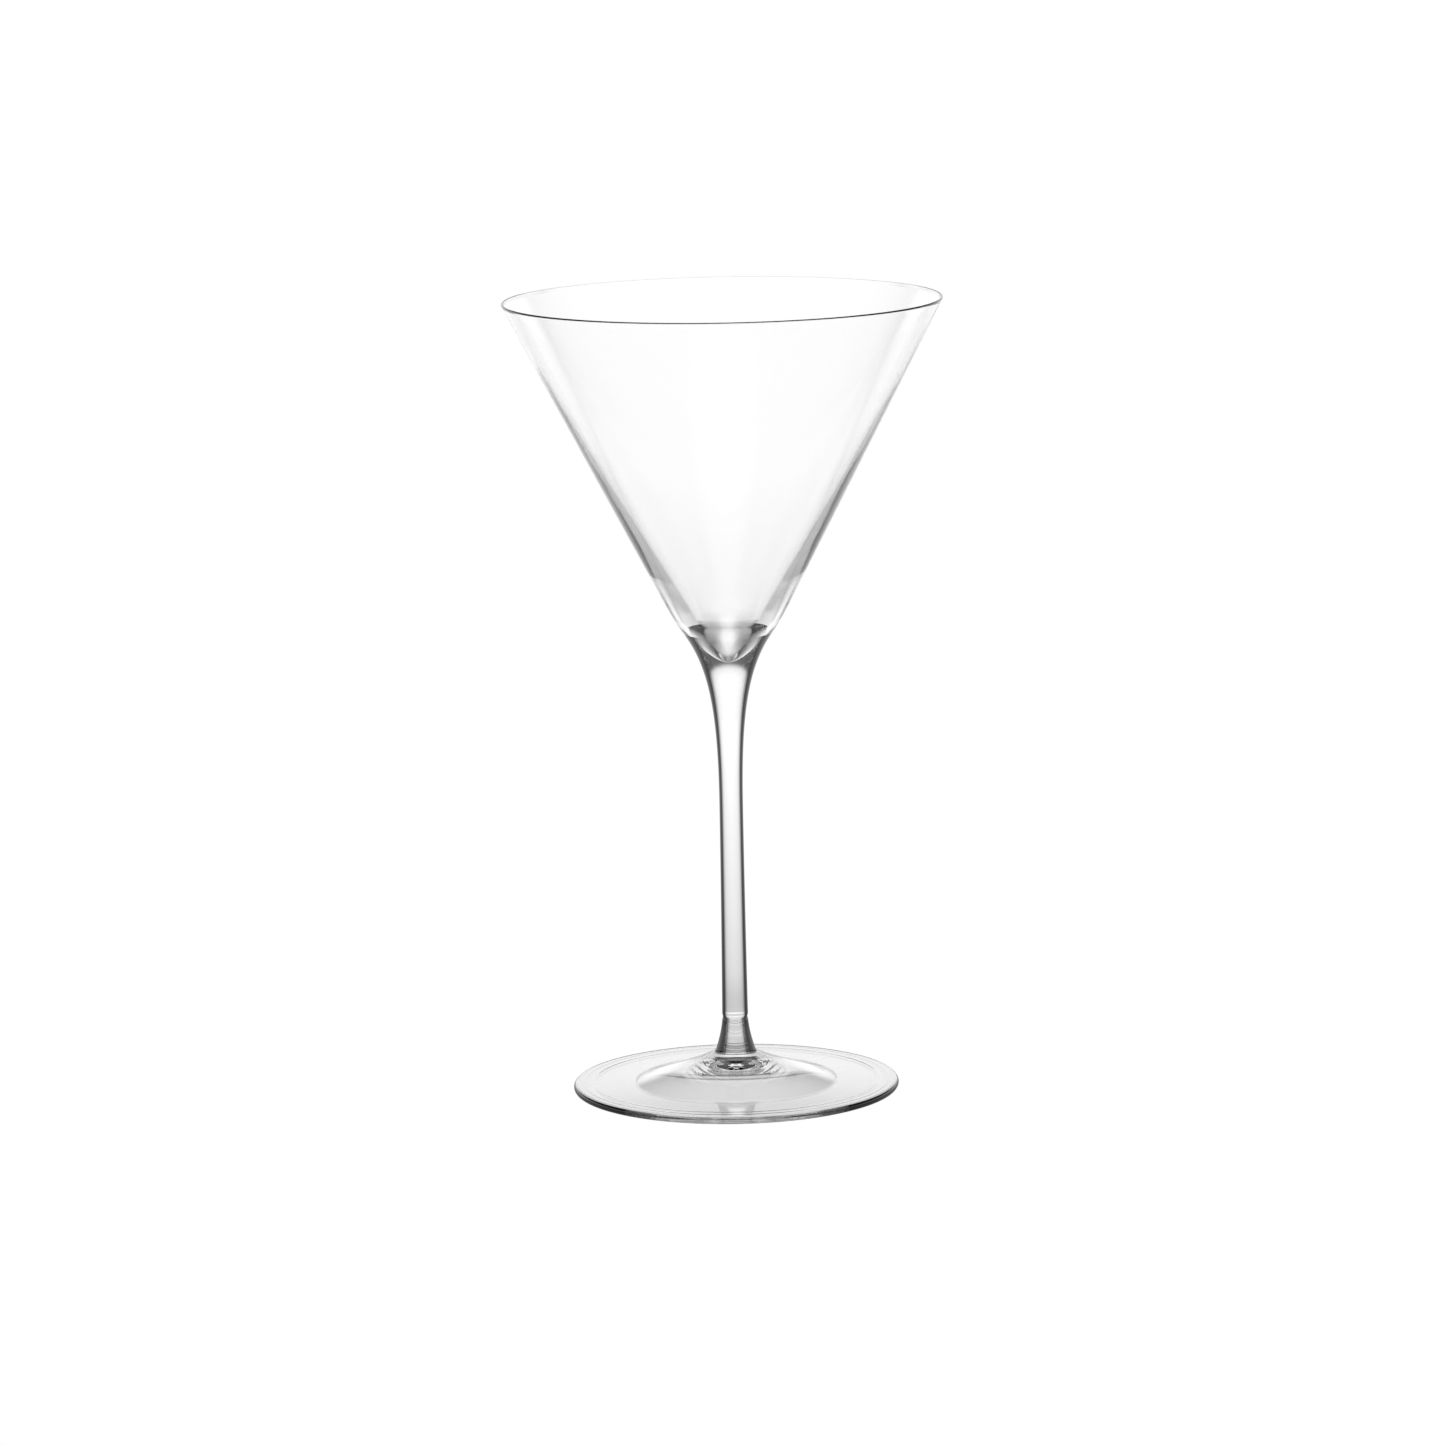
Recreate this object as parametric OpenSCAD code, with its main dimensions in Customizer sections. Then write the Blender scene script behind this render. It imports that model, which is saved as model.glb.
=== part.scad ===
// Martini glass in clear, hand-made crystal: a blown cone, a drawn stem and a
// spun foot. Each is its own gather of glass, and the three are fused face to
// face while they are hot. The glass stands on z = 0 with its axis along +Z.
// Every outline is a list of [radius, height] points that is turned about +Z.

/* [Overall] */
// Height from the table to the rim
glass_height = 190; // [175:1:205]

/* [Bowl] */
// Outside diameter at the rim
rim_diameter = 104; // [96:1:112]
// Height from the rim down to the shoulder, where the cone meets the stem
bowl_height = 79.3; // [74:0.1:84]
// Diameter of the shoulder
shoulder_diameter = 21.4; // [20:0.1:23]
// How far the cone is rounded in at the shoulder, measured on the radius
shoulder_turn = 0.5; // [0.2:0.1:0.9]
// Thickness of the cone's wall at the rim
lip_wall = 0.6; // [0.5:0.1:0.9]
// Height of the cavity's knee above the shoulder, where its side meets its floor
knee_rise = 4.3; // [4:0.1:4.6]
// Diameter of the cavity at the knee
knee_diameter = 16.6; // [16:0.1:17.2]
// Depth of the cavity, from the rim to its blunt tip
cavity_depth = 85.1; // [84:0.1:85.5]
// Height of the solid tip of the bowl that the stem's cup holds
tip_depth = 7.9; // [7.5:0.1:8.5]

/* [Stem] */
// Diameter of the stem at its waist
waist_diameter = 5.64; // [5:0.02:6]
// Height of the waist above the table
waist_height = 69; // [60:1:75]
// Diameter of the stem just above the seam with the foot
stem_end_diameter = 6.2; // [6:0.1:6.6]

/* [Foot] */
// Outside diameter of the foot
foot_diameter = 78; // [72:1:84]
// Thickness of the foot's rounded edge
edge_thickness = 1.9; // [1.6:0.1:2.2]
// Height of the seam between stem and foot
seam_height = 17.5; // [16:0.1:19]
// Diameter of the post where it meets the mound
post_diameter = 9.5; // [8.6:0.1:10]
// Height of the mound's top where the post meets it
mound_height = 9.4; // [9:0.1:10]
// Diameter of the mound that rises out of the foot's flat brim
mound_diameter = 47; // [45:1:49]
// Height of the hollow under the middle of the foot
hollow_height = 5.4; // [5:0.1:5.6]

/* [Quality] */
// Steps along each curved stretch of an outline
curve_steps = 12; // [8:1:20]

/* [Hidden] */
$fn = 96;

crystal = [0.93, 0.95, 0.96, 0.45];

// Bowl, from the rim down
rim_r = rim_diameter / 2;
shoulder_r = shoulder_diameter / 2;
shoulder_z = glass_height - bowl_height;
turn_height = 6.3;
lip_round = lip_wall / 2;
lip_z = glass_height - lip_round;

// The cone's straight side starts at the shoulder and just touches the round lip
side_r = rim_r - lip_round - shoulder_r - shoulder_turn;
side_h = lip_z - shoulder_z;
cone_lean = atan2(side_r, side_h) + asin(lip_round / norm([side_r, side_h]));
cone_slope = tan(cone_lean);
level_lip_wall = lip_wall / cos(cone_lean);

// Cavity and solid base of the bowl
cavity_tip_z = glass_height - cavity_depth;
knee_r = knee_diameter / 2;
knee_z = shoulder_z + knee_rise;
knee_round = 1;
wall_growth = 2.3;
floor_slope = 0.85;
floor_reach = 3.4;
floor_tip_r = 2.4;
tip_z = shoulder_z - tip_depth;
tip_flat_r = 3;

// Stem, from the shoulder down
waist_r = waist_diameter / 2;
stem_end_r = stem_end_diameter / 2;
flare_start_slope = 0.72;
flare_reach = 8.5;
waist_reach = 22;

// Seam between stem and foot: two rounded edges meet in a fine groove
seam_round = 0.45;
seam_groove = 0.16;
seam_r = stem_end_r - seam_groove;

// Foot, from the seam down
post_r = post_diameter / 2;
post_top_z = seam_height - 2 * seam_round;
foot_r = foot_diameter / 2;
edge_round = edge_thickness / 2;
edge_centre_r = foot_r - edge_round;
mound_r = mound_diameter / 2;
brim_rise = 0.5;
rest_inner_r = edge_centre_r - 2.6;
hollow_r = mound_r + 0.5;
hollow_start_z = 0.3;

// Points of a cubic curve from a to d, with b and c as its two handles.
// The first point is left out, because the stretch before it ends there.
function curve(a, b, c, d, steps = curve_steps) = [
    for (i = [1 : steps])
        let (t = i / steps, s = 1 - t)
            s * s * s * a + 3 * s * s * t * b + 3 * s * t * t * c + t * t * t * d
];

// Points of an arc about a centre, from one angle to another, both included.
function arc(centre, radius, from, to, steps = 6) = [
    for (i = [0 : steps])
        let (angle = from + (to - from) * i / steps)
            centre + radius * [cos(angle), sin(angle)]
];

function reversed(points) = [for (i = [len(points) - 1 : -1 : 0]) points[i]];

// Radius of the cone's straight side, carried on below the shoulder.
function straight_r(z) = shoulder_r + shoulder_turn + cone_slope * (z - shoulder_z);

// Outer radius of the cone at a height. It rounds in just above the shoulder.
function cone_r(z) =
    let (rounded = max(0, 1 - (z - shoulder_z) / turn_height))
        straight_r(z) - shoulder_turn * rounded * rounded;

// Radius of the cavity at a height. The wall thickens steadily from the lip to the knee.
function cavity_r(z) =
    let (
        down = (lip_z - z) / (lip_z - knee_z),
        growth = straight_r(knee_z) - knee_r - level_lip_wall
    )
        straight_r(z) - level_lip_wall - growth * pow(down, wall_growth);

// The blunt face where the bowl's tip sits in the stem's cup, from edge to axis.
function seat() = concat(
    [[shoulder_r, shoulder_z]],
    curve(
        [shoulder_r, shoulder_z],
        [shoulder_r * 0.62, shoulder_z - tip_depth * 0.55],
        [tip_flat_r, tip_z],
        [0, tip_z],
        8
    )
);

module bowl() {
    cone_steps = 2 * curve_steps;
    shoulder_arc = [
        for (i = [1 : 6])
            let (z = shoulder_z + turn_height * i / 6)
                [cone_r(z), z]
    ];
    lip = arc([rim_r - lip_round, lip_z], lip_round, -cone_lean, 180 - cone_lean, 8);
    wall_end = [cavity_r(knee_z + knee_round), knee_z + knee_round];
    wall = [
        for (i = [1 : cone_steps])
            let (z = lip_z - (lip_z - wall_end.y) * i / cone_steps)
                [cavity_r(z), z]
    ];
    knee = [knee_r, knee_z];
    floor_way = -[floor_slope, 1] / norm([floor_slope, 1]);
    floor_start = knee + knee_round * floor_way;
    knee_turn = curve(wall_end, (wall_end + knee) / 2, (knee + floor_start) / 2, floor_start, 5);
    floor_curve = curve(
        floor_start,
        floor_start + floor_reach * floor_way,
        [floor_tip_r, cavity_tip_z],
        [0, cavity_tip_z]
    );
    color(crystal)
        rotate_extrude()
            polygon(concat(
                reversed(seat()), shoulder_arc, lip, wall, knee_turn, floor_curve
            ));
}

module stem() {
    shoulder = [shoulder_r, shoulder_z];
    waist = [waist_r, waist_height];
    flare = curve(
        shoulder,
        shoulder - flare_reach * [flare_start_slope, 1],
        waist + [0, waist_reach],
        waist
    );
    end_z = seam_height + seam_round;
    taper = curve(
        waist,
        [waist_r, waist_height - 18],
        [stem_end_r - 0.12, end_z + 12],
        [stem_end_r, end_z + 0.3]
    );
    rounded_end = curve(
        [stem_end_r, end_z + 0.3],
        [stem_end_r, end_z - 0.1],
        [seam_r, end_z],
        [seam_r, seam_height],
        5
    );
    color(crystal)
        rotate_extrude()
            polygon(concat(reversed(seat()), flare, taper, rounded_end, [[0, seam_height]]));
}

module foot() {
    post_top = [stem_end_r + 0.02, post_top_z];
    post_end = [post_r, mound_height];
    rounded_start = curve(
        [seam_r, seam_height],
        [seam_r, post_top_z + 0.5],
        [stem_end_r, post_top_z + 0.4],
        post_top,
        5
    );
    post = curve(
        post_top,
        post_top + [0.25, -2.6],
        post_end + [-0.75, 2.2],
        post_end
    );
    mound_end = [mound_r, edge_thickness + brim_rise];
    mound = curve(
        post_end,
        post_end + [1.95, -1.8],
        mound_end + [-7.5, 2],
        mound_end
    );
    brim_start = mound_end + [1.8, -0.24];
    mound_turn = curve(
        mound_end,
        mound_end + [0.68, -0.18],
        brim_start + [-0.7, 0.02],
        brim_start,
        5
    );
    edge = arc([edge_centre_r, edge_round], edge_round, 90, -90, 10);
    hollow_start = [hollow_r, hollow_start_z];
    hollow = curve(
        hollow_start,
        hollow_start + [-7, 1.9],
        [foot_r * 0.2, hollow_height],
        [0, hollow_height]
    );
    color(crystal)
        rotate_extrude()
            polygon(concat(
                [[0, seam_height], [seam_r, seam_height]],
                rounded_start, post, mound, mound_turn, edge, [[rest_inner_r, 0], hollow_start], hollow
            ));
}

bowl();
stem();
foot();
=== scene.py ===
"""Martini glass: the looks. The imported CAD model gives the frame; each gather of
glass is turned here as a fine lathe mesh that stands for its plain CAD node.

Outlines are lists of (radius, height) points in millimetres, and turned about +Z.
"""
import math

import bpy
import numpy as np
from mathutils import Matrix, Vector


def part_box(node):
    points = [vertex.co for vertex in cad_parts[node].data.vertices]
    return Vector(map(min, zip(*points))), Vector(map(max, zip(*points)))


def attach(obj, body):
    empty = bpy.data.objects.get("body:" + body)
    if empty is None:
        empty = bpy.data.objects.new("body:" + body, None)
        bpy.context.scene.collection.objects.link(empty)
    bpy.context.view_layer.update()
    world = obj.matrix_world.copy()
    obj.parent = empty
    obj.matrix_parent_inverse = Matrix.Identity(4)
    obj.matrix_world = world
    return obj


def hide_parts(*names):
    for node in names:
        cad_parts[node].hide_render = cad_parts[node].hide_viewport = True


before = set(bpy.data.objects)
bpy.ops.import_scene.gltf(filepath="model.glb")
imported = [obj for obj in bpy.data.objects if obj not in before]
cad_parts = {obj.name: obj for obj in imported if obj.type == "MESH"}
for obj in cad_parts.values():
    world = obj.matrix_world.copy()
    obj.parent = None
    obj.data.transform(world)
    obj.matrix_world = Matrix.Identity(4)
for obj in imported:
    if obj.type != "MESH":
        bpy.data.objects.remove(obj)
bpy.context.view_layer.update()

MM = 0.001

# ---------------------------------------------------------------- sizes, in millimetres
#
# A curve's REACH leads from one of its ends to the handle that draws it: a length where
# the way is clear from the function, or a step of (radius, height).

BOWL_LOW, BOWL_HIGH = (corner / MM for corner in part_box("bowl"))
STEM_LOW, STEM_HIGH = (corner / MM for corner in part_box("stem"))
FOOT_LOW, FOOT_HIGH = (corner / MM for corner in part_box("foot"))

# Bowl
RIM_R = BOWL_HIGH.x
RIM_Z = BOWL_HIGH.z
SEAT_Z = BOWL_LOW.z
SEAT_FLAT_R = 3.0
# Where the seat's curve is drawn to, as shares of the shoulder's radius and the tip's depth
SEAT_PULL = (0.62, 0.55)
SHOULDER_R = STEM_HIGH.x
SHOULDER_Z = STEM_HIGH.z
SHOULDER_TURN = 0.5
TURN_HEIGHT = 6.3
LIP_WALL = 0.6

# Cavity: a side whose wall thickens downwards, then a rounded floor below the knee
KNEE_R = 8.3
KNEE_Z = SHOULDER_Z + 4.3
KNEE_ROUND = 1.0
WALL_GROWTH = 2.3
CAVITY_TIP_Z = SEAT_Z + 2.1
FLOOR_SLOPE = 0.85
FLOOR_REACH = 3.4
FLOOR_TIP_R = 2.4

# Stem
WAIST_R = 2.82
WAIST_Z = 69.0
FLARE_SLOPE = 0.72
FLARE_REACH = 8.5
WAIST_REACH_UP = 22.0
WAIST_REACH_DOWN = 18.0
END_REACH = (-0.12, 12)
SEAM_Z = STEM_LOW.z
STEM_END_R = 3.1
SEAM_ROUND = 0.45
SEAM_GROOVE = 0.16
SEAM_LEAD = 0.3
SEAM_R = STEM_END_R - SEAM_GROOVE

# Foot
FOOT_R = FOOT_HIGH.x
POST_R = 4.75
POST_TOP_REACH = (0.25, -2.6)
POST_END_REACH = (-0.75, 2.2)
MOUND_Z = 9.4
MOUND_R = 23.5
MOUND_TOP_REACH = (1.95, -1.8)
MOUND_END_REACH = (-7.5, 2)
EDGE_ROUND = 0.95
EDGE_CENTRE_R = FOOT_R - EDGE_ROUND
BRIM_RISE = 0.5
BRIM_TURN = (1.8, -0.24)
BRIM_GAP = 0.6
REST_INNER_R = EDGE_CENTRE_R - 2.6
HOLLOW_R = MOUND_R + 0.5
HOLLOW_START_Z = 0.3
HOLLOW_Z = 5.4
HOLLOW_REACH = (-7, 1.9)
HOLLOW_FLAT_R = FOOT_R * 0.2

# Marks that the tools left on the foot: rings near its edge, and ripples that rise next
# to the post and fade out again
TOOL_RINGS = (34.3, 36.5)
RING_HEIGHT = 0.035
RING_WIDTH = 0.3
RIPPLE_HEIGHT = 0.006
RIPPLE_PITCH = 0.9
RIPPLE_END_R = 11.0
RIPPLE_RISE = 1.5
RIPPLE_FADE = 4.0

# Steps round the axis, and the radius below which a point counts as being on it
SEGMENTS = 192
AXIS_R = 1e-6
GLASS_IOR = 1.52

# ---------------------------------------------------------------- outlines


def point(r, z):
    return np.array((r, z), float)


def curve(a, b, c, d, steps):
    """Points of a cubic curve from a to d with handles b and c, without its first point."""
    t = np.linspace(0, 1, steps + 1)[1:, None]
    s = 1 - t
    return s**3 * a + 3 * s**2 * t * b + 3 * s * t**2 * c + t**3 * d


def arc(centre, radius, start, end, steps):
    """Points of an arc about a centre, between two angles in degrees."""
    angles = np.radians(np.linspace(start, end, steps + 1))
    return centre + radius * np.stack((np.cos(angles), np.sin(angles)), -1)


def stretch(radius_at, z_from, z_to, steps):
    """Points of an outline whose radius is a function of height, without its first point."""
    z = np.linspace(z_from, z_to, steps + 1)[1:]
    return np.stack((radius_at(z), z), -1)


LIP_ROUND = LIP_WALL / 2
LIP_Z = RIM_Z - LIP_ROUND
SIDE_R = RIM_R - LIP_ROUND - SHOULDER_R - SHOULDER_TURN
SIDE_H = LIP_Z - SHOULDER_Z
CONE_LEAN = math.atan2(SIDE_R, SIDE_H) + math.asin(LIP_ROUND / math.hypot(SIDE_R, SIDE_H))
LEVEL_LIP_WALL = LIP_WALL / math.cos(CONE_LEAN)


def straight_r(z):
    """Radius of the cone's straight side, carried on below the shoulder."""
    return SHOULDER_R + SHOULDER_TURN + math.tan(CONE_LEAN) * (z - SHOULDER_Z)


def cone_r(z):
    """Outer radius of the cone, which rounds in just above the shoulder."""
    rounded = np.maximum(0, 1 - (z - SHOULDER_Z) / TURN_HEIGHT)
    return straight_r(z) - SHOULDER_TURN * rounded**2


BASE_WALL = straight_r(KNEE_Z) - KNEE_R


def cavity_r(z):
    """Radius of the cavity: the wall thickens steadily from the lip to the knee."""
    down = (LIP_Z - z) / (LIP_Z - KNEE_Z)
    return straight_r(z) - LEVEL_LIP_WALL - (BASE_WALL - LEVEL_LIP_WALL) * down**WALL_GROWTH


def seat_outline():
    """The blunt face between the bowl's tip and the stem's cup, from edge to axis."""
    edge = point(SHOULDER_R, SHOULDER_Z)
    depth = SHOULDER_Z - SEAT_Z
    down = curve(
        edge,
        point(SHOULDER_R * SEAT_PULL[0], SHOULDER_Z - depth * SEAT_PULL[1]),
        point(SEAT_FLAT_R, SEAT_Z),
        point(0, SEAT_Z),
        steps=24,
    )
    return np.vstack((edge, down))


def bowl_outside():
    """From the shoulder up the side and over the lip."""
    side = stretch(cone_r, SHOULDER_Z, LIP_Z, steps=150)[:-1]
    lean = math.degrees(CONE_LEAN)
    lip = arc(point(RIM_R - LIP_ROUND, LIP_Z), LIP_ROUND, -lean, 180 - lean, steps=16)
    return np.vstack((point(SHOULDER_R, SHOULDER_Z), side, lip))


def bowl_inside():
    """From the lip down the cavity's side, round the knee and over the floor."""
    knee = point(KNEE_R, KNEE_Z)
    side = stretch(cavity_r, LIP_Z, KNEE_Z + KNEE_ROUND, steps=140)
    floor_way = point(-FLOOR_SLOPE, -1) / math.hypot(FLOOR_SLOPE, 1)
    floor_start = knee + KNEE_ROUND * floor_way
    turn = curve(
        side[-1], (side[-1] + knee) / 2, (knee + floor_start) / 2, floor_start, steps=24
    )
    tip = point(0, CAVITY_TIP_Z)
    floor = curve(
        floor_start,
        floor_start + FLOOR_REACH * floor_way,
        tip + point(FLOOR_TIP_R, 0),
        tip,
        steps=100,
    )
    return np.vstack((side, turn, floor))


def stem_outline():
    """From the shoulder down the flare, past the waist to the seam."""
    shoulder = point(SHOULDER_R, SHOULDER_Z)
    waist = point(WAIST_R, WAIST_Z)
    flare_end = shoulder - FLARE_REACH * point(FLARE_SLOPE, 1)
    flare = curve(shoulder, flare_end, waist + point(0, WAIST_REACH_UP), waist, steps=90)
    end = point(STEM_END_R, SEAM_Z + SEAM_ROUND)
    taper_end = end + point(0, SEAM_LEAD)
    taper = curve(
        waist, waist - point(0, WAIST_REACH_DOWN), end + END_REACH, taper_end, steps=60
    )
    rounded_end = curve(
        taper_end, end - point(0, 0.1), point(SEAM_R, end[1]), point(SEAM_R, SEAM_Z), steps=8
    )
    return np.vstack((flare, taper, rounded_end))


def tooled(points):
    """Adds the foot's marks: two fine rings near the edge and ripples round the post."""
    r, z = points.T
    rings = sum(np.exp(-(((r - ring) / RING_WIDTH) ** 2)) for ring in TOOL_RINGS)
    fade = np.clip((RIPPLE_END_R - r) / RIPPLE_FADE, 0, 1)
    rise = np.clip((r - POST_R) / RIPPLE_RISE, 0, 1)
    ripples = rise * fade * np.sin(math.tau * r / RIPPLE_PITCH)
    return np.stack((r, z + RING_HEIGHT * rings + RIPPLE_HEIGHT * ripples), -1)


def foot_outline():
    """From the seam down the post, over the mound and the brim, and back underneath."""
    post_top_z = SEAM_Z - 2 * SEAM_ROUND
    seam = point(SEAM_R, SEAM_Z)
    post_top = point(STEM_END_R + 0.02, post_top_z)
    rounded_start = curve(
        seam,
        point(SEAM_R, post_top_z + 0.5),
        point(STEM_END_R, post_top_z + 0.4),
        post_top,
        steps=8,
    )
    post_end = point(POST_R, MOUND_Z)
    post = curve(
        post_top, post_top + POST_TOP_REACH, post_end + POST_END_REACH, post_end, steps=32
    )
    mound_end = point(MOUND_R, 2 * EDGE_ROUND + BRIM_RISE)
    mound = curve(
        post_end, post_end + MOUND_TOP_REACH, mound_end + MOUND_END_REACH, mound_end, steps=200
    )
    brim_start = mound_end + BRIM_TURN
    turn = curve(
        mound_end,
        mound_end + point(0.68, -0.18),
        brim_start + point(-0.7, 0.02),
        brim_start,
        steps=24,
    )
    brim_end = point(EDGE_CENTRE_R - BRIM_GAP, 2 * EDGE_ROUND)
    brim = np.linspace(brim_start, brim_end, 80)[1:]
    edge = arc(point(EDGE_CENTRE_R, EDGE_ROUND), EDGE_ROUND, 90, -90, steps=24)
    rest_end = point(REST_INNER_R, 0)
    rest = np.linspace(point(EDGE_CENTRE_R, 0), rest_end, 6)[1:]
    hollow_start = point(HOLLOW_R, HOLLOW_START_Z)
    under_brim = np.linspace(rest_end, hollow_start, 30)[1:]
    hollow = curve(
        hollow_start,
        hollow_start + HOLLOW_REACH,
        point(HOLLOW_FLAT_R, HOLLOW_Z),
        point(0, HOLLOW_Z),
        steps=110,
    )
    top = tooled(np.vstack((mound, turn, brim)))
    return np.vstack((seam, rounded_start, post, top, edge, rest, under_brim, hollow))


def seam_face():
    """The flat fused face at the seam, from its edge to the axis."""
    return np.linspace(point(SEAM_R, SEAM_Z), point(0, SEAM_Z), 8)


# ---------------------------------------------------------------- lathe


def turned(name, stretches, materials):
    """Turns outline stretches about +Z into one closed mesh.

    Each stretch is (points, material number). Stretches join end to end. The joint between
    two materials is a sharp edge, so that each side keeps its own smooth normals.
    """
    mesh = bpy.data.meshes.new(name)
    outline = [tuple(p) for points, _ in stretches for p in points]
    numbers = [number for points, number in stretches for _ in points]
    turn = np.arange(SEGMENTS) * math.tau / SEGMENTS
    rings, verts = [], []
    for r, z in outline:
        if r < AXIS_R:
            rings.append([len(verts)])
            verts.append((0, 0, z * MM))
        else:
            rings.append(list(range(len(verts), len(verts) + SEGMENTS)))
            verts += [(r * MM * math.cos(a), r * MM * math.sin(a), z * MM) for a in turn]
    faces, face_materials, sharp = [], [], set()
    for i in range(len(rings) - 1):
        low, high, number = rings[i], rings[i + 1], numbers[i + 1]
        for k in range(SEGMENTS):
            after = (k + 1) % SEGMENTS
            if len(low) == 1:
                faces.append((low[0], high[k], high[after]))
            elif len(high) == 1:
                faces.append((low[k], high[0], low[after]))
            else:
                faces.append((low[k], high[k], high[after], low[after]))
            face_materials.append(number)
        if i and numbers[i] != number:
            sharp.update(frozenset((low[k], low[(k + 1) % SEGMENTS])) for k in range(SEGMENTS))
    mesh.from_pydata(verts, [], faces)
    mesh.polygons.foreach_set("material_index", face_materials)
    mesh.polygons.foreach_set("use_smooth", [True] * len(faces))
    for edge in mesh.edges:
        edge.use_edge_sharp = frozenset(edge.vertices) in sharp
    for material in materials:
        mesh.materials.append(material)
    mesh.update()
    piece = bpy.data.objects.new(name, mesh)
    bpy.context.scene.collection.objects.link(piece)
    return piece


# ---------------------------------------------------------------- materials


class Nodes:
    """A short way to add nodes to a tree and join them."""

    def __init__(self, tree):
        self.tree = tree
        tree.nodes.clear()

    def add(self, kind, inputs=None, **values):
        """Adds a node. An input is a plain value, or another node's output to join to it."""
        node = self.tree.nodes.new(kind)
        for key, value in values.items():
            setattr(node, key, value)
        for key, value in (inputs or {}).items():
            if isinstance(value, bpy.types.NodeSocket):
                self.tree.links.new(value, node.inputs[key])
            else:
                node.inputs[key].default_value = value
        return node

    def ramp(self, source, stops):
        """A grey ramp through (place, grey) stops, with places from 0 to 1."""
        node = self.add("ShaderNodeValToRGB", {"Fac": source})
        elements = node.color_ramp.elements
        while len(elements) < len(stops):
            elements.new(0.5)
        for element, (place, grey) in zip(elements, stops):
            element.position = place
            element.color = (grey, grey, grey, 1)
        return node.outputs["Color"]

    def scaled(self, source, low, high, **values):
        """The source as a share of the way from low to high."""
        node = self.add(
            "ShaderNodeMapRange", {"Value": source, "From Min": low, "From Max": high}, **values
        )
        return node.outputs["Result"]

    def mixed(self, share, first, second):
        """A mix of two colours. Its sockets share their names, so they go by number."""
        node = self.add("ShaderNodeMix", {0: share, 6: first, 7: second}, data_type="RGBA")
        return node.outputs[2]


WHITE = (1, 1, 1, 1)

# Painted edge shade for the glass: grey stops over how far an upright face turns away from the eye,
# 0 face-on, 1 edge-on
STEM_EDGE_SHADE = [
    (0, 1), (0.134, 0.86), (0.185, 0.75), (0.245, 0.5), (0.31, 0.12), (0.38, 0), (1, 0)
]
POST_EDGE_SHADE = [(0, 1), (0.08, 0.95), (0.13, 0.6), (0.18, 0.05), (0.3, 0)]
WALL_EDGE_SHADE = [
    (0, 1), (0.33, 1), (0.39, 0.8), (0.434, 0.4), (0.48, 0.75), (0.54, 0.95), (0.6, 0.5), (0.66, 0),
    (1, 0)
]
BASE_EDGE_SHADE = [
    (0, 1), (0.03, 0.95), (0.07, 0.65), (0.11, 0.4), (0.2, 0.25), (0.5, 0.25), (1, 0.35)
]

# Stops over height in millimetres: how much of the painted edge shade a face takes
WALL_SHADE_REACH = [
    (113.4, 0), (114.6, 0.9), (118, 1), (123, 0.8), (127, 0.5), (140, 0.38), (150, 0.35), (190, 0.35)
]
BASE_SHADE_REACH = [(104, 0), (107, 0.5), (109.5, 1), (112, 0.8), (114.4, 0)]

# How level a face is, from 0 upright to 1 flat, between full painted shade and none
LEVEL_FACES = (0.75, 0.95)

# Unevenness of the hand-made surfaces: pitch across, pitch along and depth, in millimetres
BLOWN = (14, 30, 0.03)
DRAWN = (0.8, 25, 0.004)
SPUN = (6, 6, 0.004)


def new_material(name):
    material = bpy.data.materials.new(name)
    material.use_nodes = True
    return material, Nodes(material.node_tree)


def glass(name, edge, grain, reach=None):
    """Clear glass with painted shade: its colour darkens where an upright face turns away from the
    eye.

    The edge gives the painted shade's stops, and level faces take none. The reach says how much
    of it each height takes. The grain is the pitch across, the pitch along and the depth of the
    hand-made unevenness.
    """
    material, nodes = new_material(name)
    surface = nodes.add("ShaderNodeNewGeometry")
    way = nodes.add("ShaderNodeSeparateXYZ", {0: surface.outputs["Normal"]})
    level_way = nodes.add("ShaderNodeCombineXYZ", {"X": way.outputs["X"], "Y": way.outputs["Y"]})
    upright = nodes.add("ShaderNodeVectorMath", {0: level_way.outputs[0]}, operation="NORMALIZE")
    turned_away = nodes.add("ShaderNodeLayerWeight", {"Blend": 0.5, "Normal": upright.outputs[0]})
    # Painted shade: the glass colour darkens as an upright face turns edge-on to the eye
    tone = nodes.ramp(turned_away.outputs["Facing"], edge)
    if reach:
        low, high = reach[0][0], reach[-1][0]
        place = nodes.add("ShaderNodeSeparateXYZ", {0: surface.outputs["Position"]})
        height = nodes.scaled(place.outputs["Z"], low * MM, high * MM)
        shares = [((z - low) / (high - low), share) for z, share in reach]
        tone = nodes.mixed(nodes.ramp(height, shares), WHITE, tone)
    levelness = nodes.add("ShaderNodeMath", {0: way.outputs["Z"]}, operation="ABSOLUTE")
    level = nodes.scaled(levelness.outputs[0], *LEVEL_FACES, interpolation_type="SMOOTHSTEP")
    across, along, depth = grain
    scale = (1 / (across * MM), 1 / (across * MM), 1 / (along * MM))
    stretched = nodes.add(
        "ShaderNodeVectorMath", {0: surface.outputs["Position"], 1: scale}, operation="MULTIPLY"
    )
    unevenness = nodes.add("ShaderNodeTexNoise", {"Vector": stretched.outputs[0], "Scale": 1.0})
    bump = nodes.add(
        "ShaderNodeBump", {"Height": unevenness.outputs["Fac"], "Distance": depth * MM}
    )
    shader = nodes.add(
        "ShaderNodeBsdfPrincipled",
        {
            "Base Color": nodes.mixed(level, tone, WHITE),
            "Normal": bump.outputs[0],
            "Transmission Weight": 1.0,
            "IOR": GLASS_IOR,
            "Roughness": 0.0,
        },
    )
    nodes.add("ShaderNodeOutputMaterial", {"Surface": shader.outputs[0]})
    return material


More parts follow.
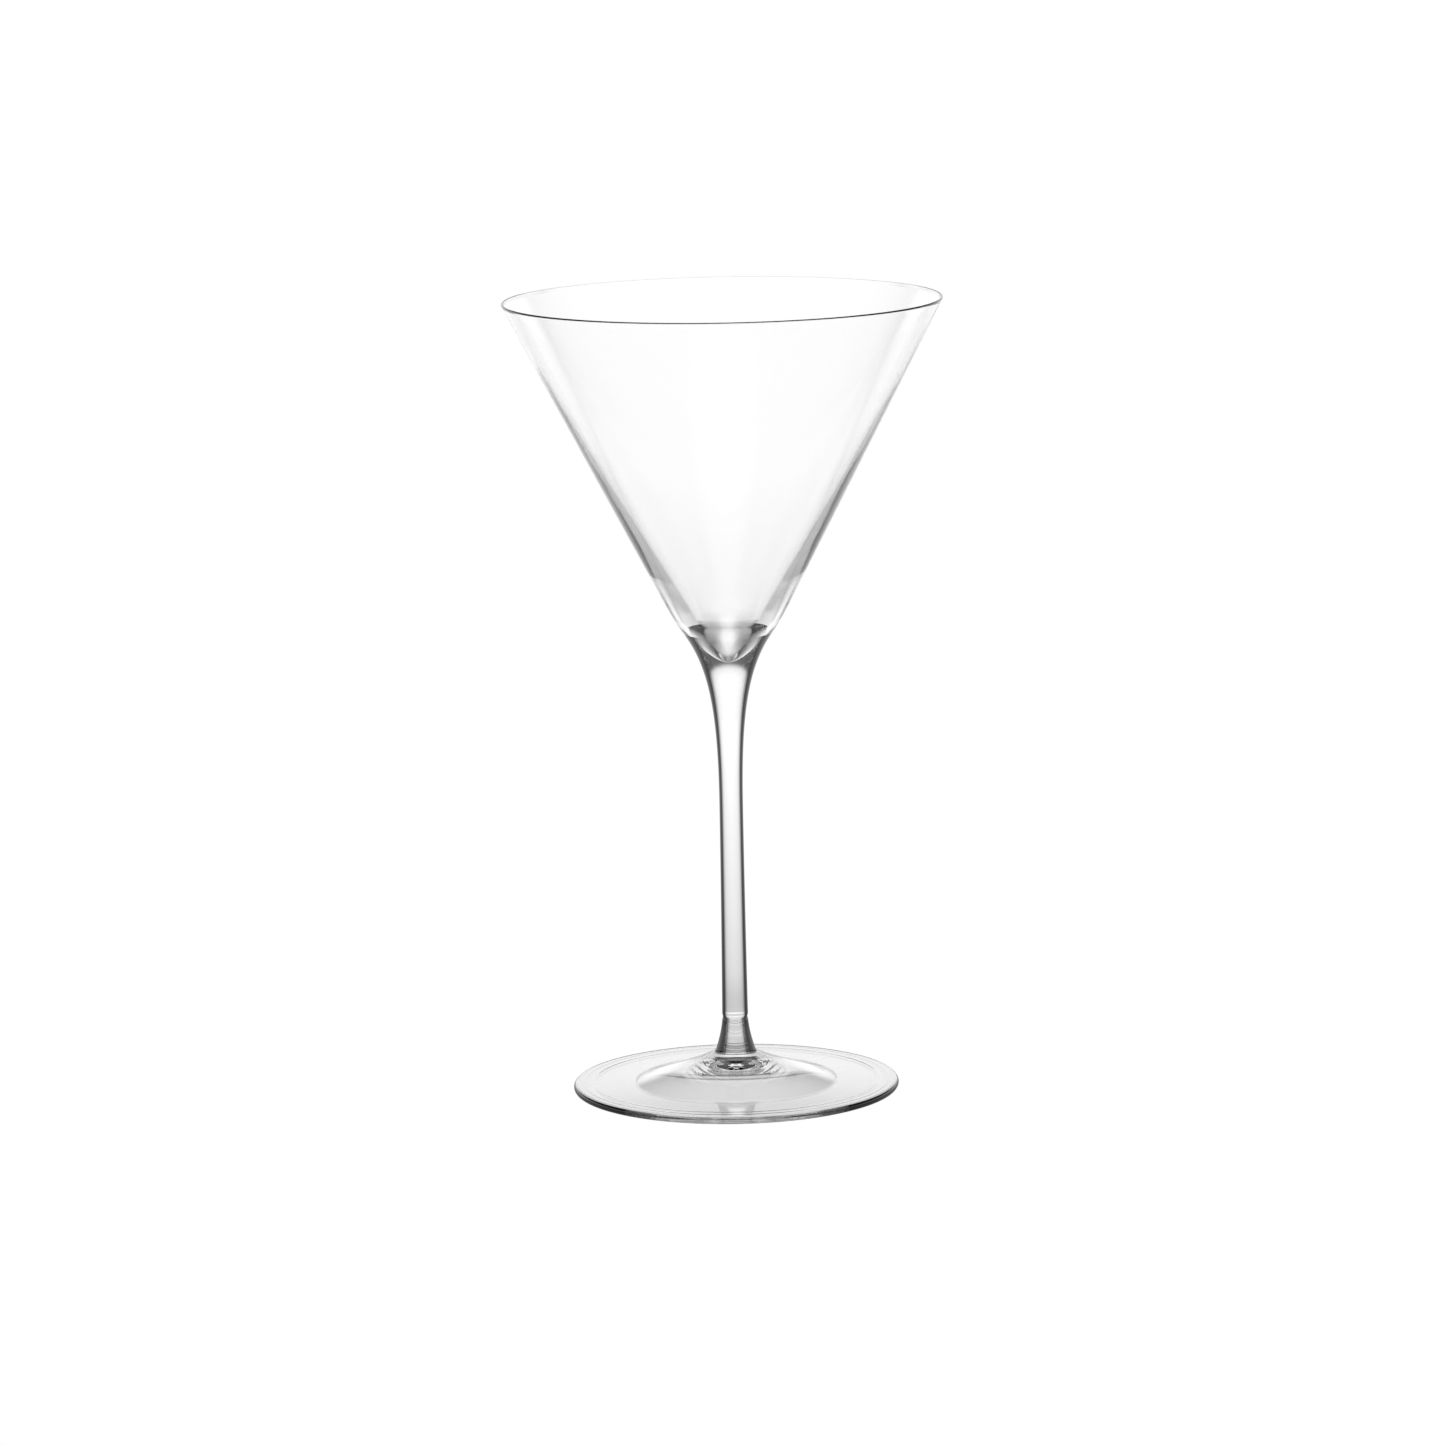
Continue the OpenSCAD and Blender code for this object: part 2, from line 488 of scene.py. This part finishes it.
def fused_face():
    """The face where two gathers are fused: light passes through it as through one glass."""
    material, nodes = new_material("fused_face")
    shader = nodes.add("ShaderNodeBsdfPrincipled", {"Alpha": 0.0})
    nodes.add("ShaderNodeOutputMaterial", {"Surface": shader.outputs[0]})
    return material


# ---------------------------------------------------------------- pieces

seat = seat_outline()
fused = fused_face()
# Each glass takes painted edge shade in its colour, from the stops above
bowl_outer = glass("bowl_glass", WALL_EDGE_SHADE, BLOWN, WALL_SHADE_REACH)
bowl_inner = glass("bowl_inside", BASE_EDGE_SHADE, BLOWN, BASE_SHADE_REACH)
bowl = turned(
    "bowl_glass",
    [(bowl_inside()[::-1], 1), (bowl_outside()[::-1], 0), (seat[1:], 2)],
    [bowl_outer, bowl_inner, fused],
)
stem = turned(
    "stem_glass",
    [(seat[::-1], 1), (stem_outline(), 0), (seam_face()[1:], 1)],
    [glass("stem_glass", STEM_EDGE_SHADE, DRAWN), fused],
)
foot = turned(
    "foot_glass",
    [(seam_face()[::-1], 1), (foot_outline()[1:], 0)],
    [glass("foot_glass", POST_EDGE_SHADE, SPUN), fused],
)

for piece, node in ((bowl, "bowl"), (stem, "stem"), (foot, "foot")):
    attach(piece, "root")
    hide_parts(node)

# ---------------------------------------------------------------- stage

# The strength of the lit set, which the camera itself doesn't see. Its stops go by the
# elevation in degrees, and for the floor by the distance from the glass in metres: first
# for light that was only bent on its way, then for light that was also reflected.
LIT = 1.1
SKY = [
    (-90, 1), (9, 1), (12, 0.93), (14.3, 0.82), (15.6, 0.67), (16.4, 0.53), (17.1, 0.38),
    (18, 0.22), (20, 0.1), (48, 0.1), (52, 1), (90, 1),
]
# The floor's light dims near the glass: a painted shade that only light through the glass shows
FLOOR = [
    (0, 0.75), (0.05, 0.75), (0.07, 0.68), (0.085, 0.55), (0.1, 0.57), (0.126, 0.69),
    (0.194, 0.78), (0.262, 0.83), (0.374, 0.91), (0.7, 1),
]
FLOOR_REFLECTED = [(0, 0.33), (0.05, 0.33), (0.07, 0.45), (0.1, 0.58), (0.2, 0.68), (0.45, 1)]
TABLE_R = 6.0
TABLE_SIDES = 96

# Camera: place in metres, tilts in degrees, lens and sensor in millimetres
EYE = (0, -1.461, 0.3429)
PITCH = 9.862
ROLL = -1.08
YAW = 0.067
LENS = 155.3
SENSOR = 36


def camera_white(nodes, shown, lit):
    """The camera sees the plain white paper, and light in the glass comes from the lit set."""
    path = nodes.add("ShaderNodeLightPath")
    mix = nodes.add("ShaderNodeMixShader", {0: path.outputs["Is Camera Ray"], 1: lit, 2: shown})
    return mix.outputs[0]


def studio():
    """A world that is white to the camera, and is banded by elevation for the glass."""
    world = bpy.data.worlds.new("studio")
    bpy.context.scene.world = world
    world.use_nodes = True
    nodes = Nodes(world.node_tree)
    way = nodes.add("ShaderNodeTexCoord")
    split = nodes.add("ShaderNodeSeparateXYZ", {0: way.outputs["Generated"]})
    height = nodes.scaled(split.outputs["Z"], -1, 1)
    stops = [((1 + math.sin(math.radians(elevation))) / 2, tone) for elevation, tone in SKY]
    lit = nodes.add("ShaderNodeBackground", {"Color": nodes.ramp(height, stops), "Strength": LIT})
    shown = nodes.add("ShaderNodeBackground", {"Color": WHITE})
    surface = camera_white(nodes, shown.outputs[0], lit.outputs[0])
    nodes.add("ShaderNodeOutputWorld", {"Surface": surface})


def table_top():
    """A round table top that shines by its own light: even white to the camera, with painted shade
    near the glass for light that reaches the glass.
    """
    turn = [math.tau * k / TABLE_SIDES for k in range(TABLE_SIDES)]
    verts = [(TABLE_R * math.cos(a), TABLE_R * math.sin(a), 0) for a in turn]
    mesh = bpy.data.meshes.new("table_top")
    mesh.from_pydata(verts, [], [tuple(range(TABLE_SIDES))])
    floor = bpy.data.objects.new("table_top", mesh)
    bpy.context.scene.collection.objects.link(floor)
    material, nodes = new_material("table_paper")
    surface = nodes.add("ShaderNodeNewGeometry")
    away = nodes.add("ShaderNodeVectorMath", {0: surface.outputs["Position"]}, operation="LENGTH")
    distance = away.outputs["Value"]
    path = nodes.add("ShaderNodeLightPath")
    reflected = nodes.add(
        "ShaderNodeMath", {0: path.outputs["Glossy Depth"], 1: 1.0}, operation="MINIMUM"
    )
    # Painted shade: the floor's light is darker near the glass, and darker still where reflected
    tone = nodes.mixed(
        reflected.outputs[0], nodes.ramp(distance, FLOOR), nodes.ramp(distance, FLOOR_REFLECTED)
    )
    lit = nodes.add("ShaderNodeEmission", {"Color": tone, "Strength": LIT})
    shown = nodes.add("ShaderNodeEmission")
    nodes.add(
        "ShaderNodeOutputMaterial",
        {"Surface": camera_white(nodes, shown.outputs[0], lit.outputs[0])},
    )
    mesh.materials.append(material)


def camera():
    data = bpy.data.cameras.new("camera")
    data.sensor_width = SENSOR
    data.lens = LENS
    data.clip_end = 50
    eye = bpy.data.objects.new("camera", data)
    bpy.context.scene.collection.objects.link(eye)
    pitch, roll, yaw = map(math.radians, (PITCH, ROLL, YAW))
    turn = Matrix.Rotation(yaw, 4, "Z") @ Matrix.Rotation(math.pi / 2 - pitch, 4, "X")
    eye.matrix_world = Matrix.Translation(Vector(EYE)) @ turn @ Matrix.Rotation(roll, 4, "Z")
    bpy.context.scene.camera = eye


studio()
table_top()
camera()

scene = bpy.context.scene
scene.view_settings.view_transform = "Standard"
scene.cycles.use_denoising = True
scene.cycles.max_bounces = 24
scene.cycles.transmission_bounces = 24
scene.cycles.glossy_bounces = 12
scene.cycles.transparent_max_bounces = 24
